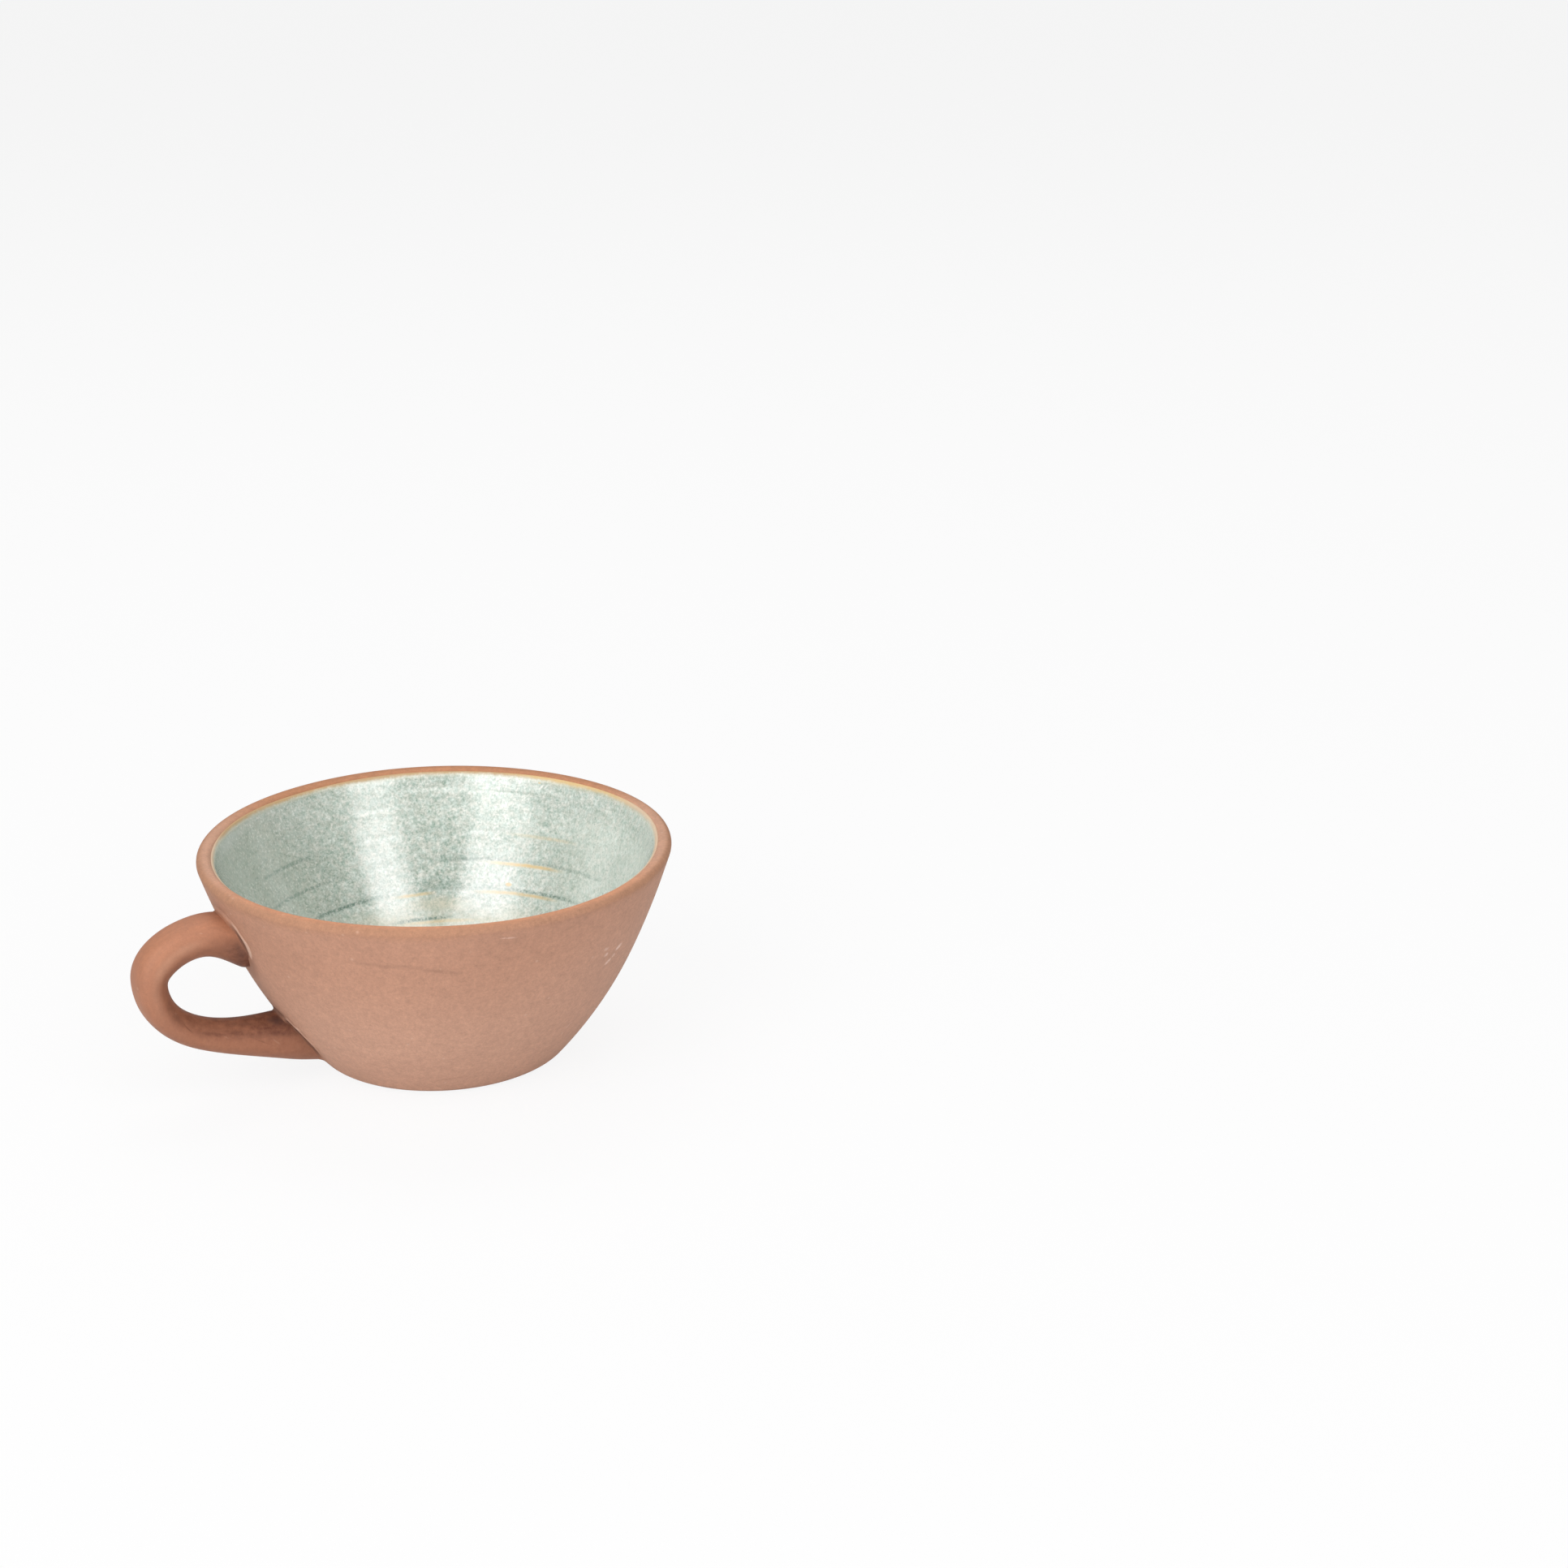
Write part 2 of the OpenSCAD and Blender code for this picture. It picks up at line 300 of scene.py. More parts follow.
glaze = dict(
    thick=0.6,
    pool=1.0,  # on the floor
    edgeRun=2.0,  # length over which the coat thins out below the lip
    edgeHigh=0.3,  # how far its edge laps up on to the lip
    edgeSwing=0.4,  # how much further at edgeAt, and how much less opposite it
    edgeAt=radians(22),
    edgeSide=0.3,  # how much less at edgeSideAt and opposite it, and how much further between
    edgeSideAt=radians(65.6),
    edgeWave=0.2,  # how far it wanders up and down besides
    buried=0.3,  # how far its underside lies in the clay
    ringPitch=8.3,  # from one turn of the throwing spiral to the next
    ringAt=25.2,  # distance of one turn below the lip, at ringAround
    ringAround=radians(68.4),
    ringGroove=0.05,
    ringRidge=0.04,
    ridgeBelow=1.0,  # the ridge runs this far below its groove
    ringWide=0.8,  # width of either
    runs=0.06,  # unevenness of the coat
    tuck=0.1,  # how far its very edge is drawn in, and over what length
    tuckRun=0.2,
    # a swelling under the lip on one side: height, distance below the lip, extents above and below,
    # middle round the bowl and extent to each side of it
    swelling=(0.13, 4.1, 2.0, 0.9, radians(46), radians(28)),
    around=384,
    edgeBand=2.4,  # length with closer rings at its edge
    edgeRings=12,
    rings=196,
    underRings=24,
    underFrom=0.4,  # how far below its edge the underside begins
    middleGap=1.2,  # how far from the middle of the floor the rings stop
)


def makeGlaze():
    # The inside outline lifted by the coat: a rounded edge, a slow thickening to the floor, along the
    # spiral a groove with a ridge below it, and a swelling under the lip, these three as bell curves
    g = glaze
    end = insideLine["s"][-1]
    last = end - g["middleGap"]
    around = np.linspace(-pi, pi, g["around"], endpoint=False)
    down = np.concatenate([np.linspace(0, g["edgeBand"], g["edgeRings"], endpoint=False),
                           np.linspace(g["edgeBand"], last, g["rings"])])
    below, turn = np.meshgrid(down, around, indexing="ij")
    edge = g["edgeWave"] * handWaves(11, around, 0, 9, 0) - g["edgeHigh"]
    edge = edge - g["edgeSwing"] * np.cos(around - g["edgeAt"])
    edge = edge + g["edgeSide"] * np.cos(2 * (around - g["edgeSideAt"]))
    s = edge + below * (end - edge) / end
    r = onLine(insideLine, s)[0]
    run = np.clip(below / g["edgeRun"], 0, 1)
    coat = (g["thick"] + (g["pool"] - g["thick"]) * (s / end)**3) * np.sqrt(1 - (1 - run)**2)
    # distance below the nearest turn of a spiral that falls one pitch in each turn round the cup
    phase = (s - g["ringAt"]) / g["ringPitch"] - (turn - g["ringAround"]) / (2 * pi)
    away = (phase - np.round(phase)) * g["ringPitch"]
    strength = (0.6 + 0.4 * handWaves(5, turn, s, 5, 0.2)) * smooth(below, 1, 4) * smooth(r, 3, 9)
    rings = g["ringRidge"] * bell(away - g["ridgeBelow"], g["ringWide"])
    rings = rings - g["ringGroove"] * bell(away, g["ringWide"])
    high, at, upward, downward, middle, half = g["swelling"]
    swelling = high * bell(s - at, np.where(s < at, upward, downward)) * bell(turn - middle, half)
    runs = g["runs"] * handWaves(8, turn, s, 9, 0.25) * smooth(below, 1, 5) * smooth(r, 2, 12)
    lift = coat + rings * strength + swelling + runs - g["tuck"] * np.exp(-below / g["tuckRun"])
    up = np.linspace(last, g["underFrom"], g["underRings"])
    under = lifted(insideLine, up[:, None] + edge, -g["buried"], around)
    rows = asThrown(np.concatenate([under, lifted(insideLine, s, lift, turn)]))
    uv = surfaceMap(g["around"], np.concatenate([up, down]) / mapScale)
    floorT = bowl["floorT"]
    return ringMesh("glaze_coat", rows, uv, [(0, 0, floorT - g["buried"]), (0, 0, floorT + g["pool"])])


# The pulled handle

handle = dict(
    reach=-handleLow.x / mm,
    upperZ=42.5, lowerZ=14.0, bendZ=35.3,
    riseAngle=35.0, fallAngle=4.0,
    upperPull=13.0, bendPullUp=6.0, bendPullDown=16.5, lowerPull=18.0,  # reach of its curves' handles
    thickTop=12.0, thickBend=8.8, thickLow=8.0,
    wide=11.2,
    pressWide=2.4, pressSpan=0.7,  # pressed wider at both ends
    flareIn=2.4, flareOut=4.0, flareSpan=0.5,
    flareOn=1.6,  # growth of the flare inside the wall
    outerPower=0.76,  # squareness of the outer side, and roundness of the inner one
    innerPower=0.92,
    innerTaper=0.16,  # how much narrower the inner side is
    innerTrim=0.3,
    outerTrims=[(0.5, 1.35, 0.28), (0.4, 0.35, 0.15), (-0.4, 0.75, 0.18)],  # depth, station, width
    runLength=40.0,
    blunt=1.5,  # how far the upper end draws in below, beside the wall
    bluntRun=2.2,
    easing=14,  # passes that ease the skin along its length, and more on the inner side
    easingIn=50,
    buried=0.015,  # how far the ends run on into the wall, as a share of the run length
    handWave=0.14,
    along=128,
    around=96,
)


def handleLine(u):
    # Centre line of two cubics, from 0 at the upper joint by 1 at the bend to 2 at the lower joint,
    # running on straight past both ends; gives distance from the axis, height, and direction
    h = handle
    upper = np.array([wallRadius(h["upperZ"]), h["upperZ"]])
    lower = np.array([wallRadius(h["lowerZ"]), h["lowerZ"]])
    bend = np.array([h["reach"] - h["thickBend"] / 2, h["bendZ"]])
    first = (upper, upper + h["upperPull"] * leanWay(90 - h["riseAngle"]), bend + [0, h["bendPullUp"]], bend)
    second = (bend, bend - [0, h["bendPullDown"]],
              lower + h["lowerPull"] * leanWay(90 - h["fallAngle"]), lower)
    early = (u <= 1)[..., None]
    a, b = np.clip(u, 0, 1), np.clip(u - 1, 0, 1)
    slope = np.where(early, cubicSlope(*first, a), cubicSlope(*second, b))
    past = np.minimum(u, 0) + np.maximum(u - 2, 0)
    point = np.where(early, cubic(*first, a), cubic(*second, b)) + h["runLength"] * past[..., None] * slope
    return point, slope


def handleSkin(u, angle):
    # Strap section round the centre line, squared outside and rounder and narrower inside: half sizes that
    # taper from the top to the low end, widen where the ends are pressed on and flare at the low end, with
    # small thick and thin places of the hand; angle 0 is the outer side
    h = handle
    point, slope = handleLine(u)
    power = h["innerPower"] + (h["outerPower"] - h["innerPower"]) * smooth(np.cos(angle), -0.5, 0.5)
    c = np.sign(np.cos(angle)) * np.abs(np.cos(angle))**power
    s = np.sign(np.sin(angle)) * np.abs(np.sin(angle))**power
    flare = np.maximum(0, 1 - np.maximum(2 - u, 0) / h["flareSpan"])**2 + h["flareOn"] * np.maximum(u - 2, 0)
    press = np.minimum(1, np.maximum(0, 1 - np.minimum(u, 2 - u) / h["pressSpan"])**2)
    thick = np.interp(u, [0, 1, 2], [h["thickTop"], h["thickBend"], h["thickLow"]]) / 2
    outer = h["flareOut"] * flare - sum(deep * bell(u - at, wide) for deep, at, wide in h["outerTrims"])
    out = c * (thick + np.where(c > 0, outer, h["flareIn"] * flare - h["innerTrim"]))
    side = s * (h["wide"] + h["pressWide"] * press) / 2 * (1 - h["innerTaper"] * smooth(-c, -0.3, 1))
    return np.stack([-(point[..., 0] - out * slope[..., 1]), side, point[..., 1] + out * slope[..., 0]], -1)


def meetWall(angle, inner, outer, halvings=24):
    # Station where each skin line meets the wall, by halving between one in the wall and one clear of it
    inner, outer = np.full_like(angle, inner), np.full_like(angle, outer)
    for _ in range(halvings):
        mid = (inner + outer) / 2
        p = handleSkin(mid, angle)
        clear = np.hypot(p[..., 0], p[..., 1]) > wallRadius(p[..., 2])
        inner, outer = np.where(clear, inner, mid), np.where(clear, mid, outer)
    return (inner + outer) / 2


sectionTurn = np.linspace(0, 2 * pi, handle["around"], endpoint=False)
upperMeet = meetWall(sectionTurn, -0.6, 0.8)
lowerMeet = meetWall(sectionTurn, 2.6, 1.2)


def fromCore(skin, u):
    # Unit vectors from the centre line out to the skin
    point, _ = handleLine(u)
    return unit(skin - np.stack([-point[..., 0], 0 * u, point[..., 1]], -1))


def bluntEnd(u, angle):
    # How far the skin draws in beside the wall at the upper end: a bell of the distance to the wall, below
    h = handle
    near = bell((u - upperMeet) * h["runLength"], h["bluntRun"])
    return h["blunt"] * near * smooth(-np.cos(angle), -0.1, 0.8)


def eased(rows, passes):
    # Each row but the ends taken to the average of itself, twice, and its two neighbours, pass after pass
    rows = rows.copy()
    for _ in range(passes):
        rows[1:-1] = (rows[:-2] + 2 * rows[1:-1] + rows[2:]) / 4
    return rows


def makeHandle():
    # Skin lines cut where they meet the wall, eased along their length, most on the inner side, and pushed
    # out and in a little by slow waves of the hand
    h = handle
    share = np.linspace(0, 1, h["along"])[:, None]
    u = (upperMeet - h["buried"]) * (1 - share) + (lowerMeet + h["buried"]) * share
    angle = np.broadcast_to(sectionTurn, u.shape)
    skin = handleSkin(u, angle)
    skin = eased(skin, h["easing"])
    skin = skin + smooth(-np.cos(angle), -0.1, 0.7)[..., None] * (eased(skin, h["easingIn"]) - skin)
    push = h["handWave"] * handWaves(21, angle, u * 6, 3, 1.0)
    push = push * smooth(u, 0.05, 0.4) * smooth(2 - u, 0.1, 0.5) - bluntEnd(u, angle)
    rows = asThrown(skin + push[..., None] * fromCore(skin, u))
    uv = surfaceMap(h["around"], share[:, 0])
    piece = ringMesh("pulled_handle", rows, uv, [rows[0].mean(0), rows[-1].mean(0)])
    # grime and painted shade: beside both joints on the inner side, along the inner side, and over the lower
    # run
    inner = -np.cos(angle)
    nearUpper = 0.9 * bell((u - upperMeet) * h["runLength"], 9.0) * smooth(inner, -0.35, 0.2)
    nearLower = bell((lowerMeet - u) * h["runLength"], 5.0) * smooth(inner, -0.1, 0.6)
    grimeAndShade = np.maximum(nearUpper, nearLower) + 0.36 * smooth(inner, -0.2, 0.4)
    grimeAndShade = grimeAndShade + 0.12 * smooth(u, 0.4, 1.0) + 0.32 * smooth(u, 1.0, 1.5)
    pointMask(piece, "grimeAndShade", np.clip(grimeAndShade, 0, 1), 2)
    # a pale line where the lit face turns away: partly wear, partly a painted highlight
    ridge = bell(np.abs((angle + pi) % (2 * pi) - pi) - radians(85), 0.2)
    pointMask(piece, "ridge", ridge * smooth(u, 0.15, 0.5) * (1 - smooth(u, 1.0, 1.4)), 2)
    return piece


# Slip squeezed out round both ends of the handle

slip = dict(
    size=1.2,
    nudge=0.02,  # step along the handle that gives its direction there
    uneven=0.5,
    lumpLimits=(0.5, 1.6),
    beadFrom=30,  # turns from the outer side, in degrees, where the bead begins and is full
    beadFull=75,
    innerFrom=124,  # where the inner fillet begins and is full, sooner by innerLean on one flank
    innerFull=154,
    innerLean=20,
    # for each joint: way along the handle out of the wall, seed, weight of its bead, and the turns
    # between which the bead is pale
    upper_slip=(1, 31, 1.6, 35, 150),
    lower_slip=(-1, 32, 1.4, 70, 145),
    paleFade=20,
    # sections as shares of the size: out along the wall, and up along the handle
    smoothed=[(-0.2, -0.2), (0.6, -0.2), (1.3, -0.12), (1.32, 0.0), (1.05, 0.05), (0.8, 0.11), (0.58, 0.2),
              (0.4, 0.33), (0.26, 0.5), (0.14, 0.74), (0.03, 1.05), (-0.08, 1.1), (-0.2, 0.5)],
    beaded=[(-0.2, -0.2), (0.7, -0.2), (1.4, -0.12), (1.45, 0.0), (1.27, 0.1), (1.03, 0.17), (0.77, 0.15),
            (0.5, 0.03), (0.3, 0.01), (0.15, 0.12), (0.03, 0.35), (-0.08, 0.4), (-0.2, 0.3)],
    # strength of each mask at the section's points
    # dark crease: a dark joint line with painted shade
    creaseShade=[0, 0, 0, 0, 0, 0, 0.1, 0.9, 1, 1, 0.6, 0.3, 0],
    pale=[0, 0, 0.1, 0.3, 0.8, 1, 1, 0.5, 0, 0, 0, 0, 0],
    onHandle=[0, 0, 0, 0, 0, 0, 0.1, 0.3, 0.6, 0.9, 1, 1, 1],
)


def makeSlip(name, meet, ends):
    # A closed section carried round the joint: each point goes out along the wall, away from the middle of
    # the joint, and up along the handle, by the section's shares of an uneven size. The section is a
    # smoothed fillet on the outer and inner sides and a thin bead with a crease on the flanks.
    k = slip
    way, seed, heavy, paleFrom, paleTo = k[name]
    corner = handleSkin(meet, sectionTurn)
    up = unit(handleSkin(meet + way * k["nudge"], sectionTurn) - corner)
    apart = corner - corner.mean(0)
    beside = corner + k["size"] * apart / np.linalg.norm(apart, axis=-1, keepdims=True)
    grow = wallRadius(beside[:, 2]) / np.hypot(beside[:, 0], beside[:, 1])
    out = beside * np.stack([grow, grow, np.ones_like(grow)], -1) - corner
    corner = corner - (ends * fromCore(corner, meet).T).T
    aside = np.degrees(np.abs((sectionTurn + pi) % (2 * pi) - pi))
    leaning = aside + k["innerLean"] * smooth(np.sin(sectionTurn), 0, 0.4)
    inner = smooth(leaning, k["innerFrom"], k["innerFull"])
    bead = smooth(aside, k["beadFrom"], k["beadFull"]) * (1 - inner)
    lumps = 1 + k["uneven"] * bead * handWaves(seed, sectionTurn, 0, 16, 0, 20)
    lumps = np.clip(lumps, *k["lumpLimits"])
    size = ((1 + (heavy - 1) * bead) * (1 - 0.1 * inner) * lumps)[:, None]
    share = bead[None, :, None]
    section = np.array(k["smoothed"])[:, None] * (1 - share) + np.array(k["beaded"])[:, None] * share
    rows = corner + size * (section[..., :1] * out + section[..., 1:] * k["size"] * up)
    uv = surfaceMap(len(sectionTurn), np.linspace(0, 1, len(rows) + 1))
    piece = ringMesh(name, asThrown(rows), uv, loop=True)
    window = smooth(aside, paleFrom, paleFrom + k["paleFade"])
    window = window * (1 - smooth(aside, paleTo - k["paleFade"], paleTo))
    creaseShaded = bead * (0.9 + 0.4 * handWaves(seed + 5, sectionTurn, 0, 9, 0))
    paled = bead * window * (0.75 + 0.6 * handWaves(seed + 9, sectionTurn, 0, 13, 0))
    masks = {label: np.array(k[label])[:, None] * along
             for label, along in (("creaseShade", creaseShaded), ("pale", paled), ("onHandle", 1.0 + 0 * bead))}
    # painted shade on the inner side as well
    masks["creaseShade"] = np.maximum(masks["creaseShade"], 0.75 * inner)
    for label, values in masks.items():
        pointMask(piece, label, np.clip(values, 0, 1))
    smoothing = piece.modifiers.new("smoothing", "SUBSURF")
    smoothing.levels = smoothing.render_levels = 1
    return piece


# Node helpers: each adds nodes to the tree in hand and gives an output of the last one

tree = None


def addNode(kind, values=None, **settings):
    # Outputs of a new node with its settings; values go to its inputs, as links where they are sockets
    node = tree.nodes.new("ShaderNode" + kind)
    for key, value in settings.items():
        setattr(node, key, value)
    for key, value in (values or {}).items():
        if isinstance(value, bpy.types.NodeSocket):
            tree.links.new(value, node.inputs[key])
        else:
            node.inputs[key].default_value = value
    return node.outputs


def calc(operation, first, *others):
    # A sum, a product or another operation, taken from the first value to the last
    for value in others or (0.0,):
        first = addNode("Math", {0: first, 1: value}, operation=operation)[0]
    return first


def product(*values):
    # Values multiplied one by the next
    return calc("MULTIPLY", *values)


def vectorCalc(operation, a, b):
    # An operation on two vectors, axis by axis
    return addNode("VectorMath", {0: a, 1: b}, operation=operation)[0]


def spread(value, low, high, toLow=0.0, toHigh=1.0, kind="LINEAR"):
    # Straight ramp of a value from one level to another
    values = {0: value, 1: low, 2: high, 3: toLow, 4: toHigh}
    return addNode("MapRange", values, interpolation_type=kind)[0]


def fade(value, low, high, toLow=0.0, toHigh=1.0):
    # The same, eased at both ends
    return spread(value, low, high, toLow, toHigh, "SMOOTHSTEP")


def within(value, start, full, fullEnd, end):
    # 1 between two levels, fading to 0 at two further out
    return product(fade(value, start, full), fade(value, end, fullEnd))


def mixed(share, a, b, blend="MIX"):
    # One colour laid over another by a share, or multiplied
    a, b = [tone if isinstance(tone, bpy.types.NodeSocket) else (*tone, 1) for tone in (a, b)]
    values = {0: share, 6: a, 7: b}
    return addNode("Mix", values, data_type="RGBA", blend_type=blend)[2]


def toned(colour, noise, depth, half=0.25):
    # A colour made darker and lighter by up to a depth, as a noise goes half below and above its middle
    by = spread(noise, 0.5 - half, 0.5 + half, 1 - depth, 1 + depth)
    return addNode("VectorMath", {0: colour, "Scale": by}, operation="SCALE")[0]


def masked(name):
    # A mask kept on the mesh
    return addNode("Attribute", attribute_name=name)["Fac"]


def sparseSpecks(where, scale, size, rare):
    # Round specks in the few cells of a cell pattern whose own random shade is above a level
    cells = addNode("TexVoronoi", {"Vector": where, "Scale": scale}, feature="F1")
    pick = addNode("SeparateColor", {0: cells["Color"]})[0]
    near = fade(cells["Distance"], size * 1.8, size * 0.6)
    return product(near, calc("GREATER_THAN", pick, rare))


def grainNoise(where, scale, detail, rough):
    # Soft noise from 0 to 1, mostly near the middle
    values = {"Vector": where, "Scale": scale, "Detail": detail, "Roughness": rough}
    return addNode("TexNoise", values)["Fac"]


def layered(where, layers):
    # Sum of noises, each taken by its share
    return calc("ADD", *[product(grainNoise(where, *noise), share) for *noise, share in layers])


def newGroup(name, inputs, outputs):
    # An empty node group, taken in hand; inputs have their kinds, and outputs are values
    global tree
    tree = bpy.data.node_groups.new(name, "ShaderNodeTree")
    for label, kind in inputs.items():
        tree.interface.new_socket(name=label, in_out="INPUT", socket_type="NodeSocket" + kind)
    for label in outputs:
        tree.interface.new_socket(name=label, in_out="OUTPUT", socket_type="NodeSocketFloat")
    return tree.nodes.new("NodeGroupInput").outputs, tree.nodes.new("NodeGroupOutput").inputs


def newMaterial(name):
    # An empty material, its node tree taken in hand
    global tree
    material = bpy.data.materials.new(name)
    material.use_nodes = True
    tree = material.node_tree
    tree.nodes.clear()
    return material


def dressed(material, values):
    # The material with one shader for its surface
    shader = addNode("BsdfPrincipled", values)
    addNode("OutputMaterial", {"Surface": shader[0]})
    return material


def bumped(height, distance, strength):
    # Normal tipped by the slope of a height
    values = {"Height": height, "Distance": distance, "Strength": strength}
    return addNode("Bump", values)[0]


# Effects that several finishes share

sand = dict(
    # noises: scale, detail, roughness, and share where several are summed
    grain=[(2600, 2, 0.6, 0.4), (1100, 2, 0.5, 0.35), (420, 2, 0.5, 0.25)],
    clouds=(42, 3, 0.55),
    # specks: scale of their cells, size in a cell, share of cells that have none
    specks={"Pale specks": (330, 0.10, 0.86), "Dark specks": (410, 0.09, 0.84)},
)


def makeClayGrain():
    # Sandy grain, sparse pale and dark specks, and slow clouds of tone, all in object space
    given, made = newGroup("clay grain", {"Vector": "Vector"}, ["Grain", *sand["specks"], "Clouds"])
    where = given["Vector"]
    tree.links.new(layered(where, sand["grain"]), made["Grain"])
    for label, specks in sand["specks"].items():
        tree.links.new(sparseSpecks(where, *specks), made[label])
    tree.links.new(grainNoise(where, *sand["clouds"]), made["Clouds"])
    return tree


def makeMark():
    # A soft oval mark on the surface: the place along it and across it, turned, shared by its half sizes
    given, made = newGroup("hand mark", {"Vector": "Vector", "Place": "Vector", "Turn": "Float",
                                         "Half size": "Vector", "Softness": "Float"}, ["Mask"])
    apart = vectorCalc("SUBTRACT", given["Vector"], given["Place"])
    turning = {"Vector": apart, "Angle": given["Turn"]}
    spun = addNode("VectorRotate", turning, rotation_type="Z_AXIS")[0]
    shared = vectorCalc("DIVIDE", spun, given["Half size"])
    far = addNode("VectorMath", {0: shared}, operation="LENGTH")["Value"]
    tree.links.new(fade(far, 1.0, calc("SUBTRACT", 1.0, given["Softness"])), made["Mask"])
    return tree


clayGrain = makeClayGrain()
handMark = makeMark()


def surfacePlace(across, along):
    # Place on the piece's own surface map, scaled to mm
    where = addNode("UVMap", uv_map="surface")[0]
    return vectorCalc("MULTIPLY", where, (across, along, 1))


def objectPlace():
    # Place in the piece's own space, in m
    return addNode("TexCoord")["Object"]


def markAt(spot, c, turn, s, half, tall, softness, tilt=0.0):
    # Mask of one mark: its turn as a share of the way across, and its mm along
    place = ((turn + 180) / 360 * c["across"], s, 0)
    values = {"Vector": spot, "Place": place, "Turn": radians(-tilt), "Half size": (half, tall, 1),
              "Softness": softness}
    return addNode("Group", values, node_tree=handMark)["Mask"]


def axes(place):
    # X, Y and Z of a place
    return addNode("SeparateXYZ", {0: place})


def placedMarks(colour, spot, c, marks, tone, softness, ragged=1.0):
    # Marks laid one by one over a colour, each at its turn and height, broken up by a ragged mask
    for turn, s, half, tall, tilt, strength in c[marks]:
        mask = markAt(spot, c, turn, s, half, tall, softness, tilt)
        colour = mixed(product(mask, ragged, strength), colour, c[tone])
    return colour


def startClay(name):
    # A new material, with the clay's grain
    material = newMaterial(name)
    where = objectPlace()
    return material, where, addNode("Group", {"Vector": where}, node_tree=clayGrain)


def clayFinish(material, colour, grain, c):
    # Clay that its grain roughens and stands up from
    rough = fade(grain["Grain"], 0.3, 0.7, *c["rough"])
    return dressed(material, {"Base Color": colour, "Roughness": rough, "Specular IOR Level": c["gloss"],
                              "Normal": bumped(grain["Grain"], *c["bump"])})


# Finishes: colours are linear; noises have a scale, a detail and a roughness; marks have a turn in degrees,
# mm along, half length, half height, tilt and strength

clayTone = dict(
    # the low tone is paler than the high one: partly the clay's own tone, partly painted light from the
    # table below
    low=(0.535, 0.314, 0.222),
    high=(0.457, 0.247, 0.165),
    # lip: burnished orange, partly the clay's own tone and partly painted shade that keeps its lit top from
    # showing brighter than the wall
    lip=(0.42, 0.218, 0.13),
    # the flash beside the glaze is painted brighter on the near side towards the lamps and darker on the far
    # side: painted light and painted shade over a real flash
    flash=(0.60, 0.285, 0.162),  # on the lip beside the glaze, on its far side, and between
    flashFarShaded=(0.465, 0.218, 0.115),
    flashSide=(0.56, 0.318, 0.215),
    flashAt=65.6,  # middle of the far side round the cup, in degrees
    pale=(0.66, 0.47, 0.37),
    dark=(0.27, 0.145, 0.10),
    # dark soil, also used for painted shade at the standing edge and beside the joints
    stainAndShade=(0.22, 0.098, 0.06),
    scratch=(0.75, 0.54, 0.45),
    # a lighter, pinker tone for a patch on the right of the wall: painted light
    litTone=(0.525, 0.303, 0.215),
    warmFrom=14,  # heights in mm where the low tone begins to turn, and where it is high
    warmTo=48,
    gloss=0.3,
    rough=(0.7, 0.86),
    bump=(0.00012, 0.5),  # height in m, and strength
    turning=(0.9, 3, 0.6),
    ragged=(300, 3, 0.6),
    nicked=(900, 2, 0.6),
    across=345.6,  # mm round the cup at a middle height
    # marks, with mm up from the table edge
    # a large patch painted lighter on the right of the wall: painted light
    litPatches=[(-45, 36, 60, 45, 0, 0.9)],
    smears=[(-125.8, 56.2, 15, 1.2, -2.5, 0.34), (-114.9, 54.4, 7, 0.9, -10, 0.52),
            (-112, 10, 8, 0.9, 6, 0.3), (35, 40, 12, 1.4, -5, 0.3), (120, 30, 9, 1.0, 8, 0.3)],
    scratches=[(-59.5, 47.2, 1.8, 0.95, 26, 0.85), (-60.9, 44.9, 0.9, 0.8, 20, 0.7),
               (-62.8, 43.6, 1.7, 0.85, 27, 0.75), (-65.3, 46.9, 1.0, 0.8, 5, 0.75),
               (-66.2, 49.1, 1.3, 0.8, -15, 0.4), (-69, 22.6, 1.6, 0.22, 30, 0.5),
               (-68.6, 23.4, 1.3, 0.2, 30, 0.4), (-98.5, 63.4, 2.4, 0.4, -8, 0.4),
               (80, 52, 1.5, 0.25, -30, 0.6)],
)


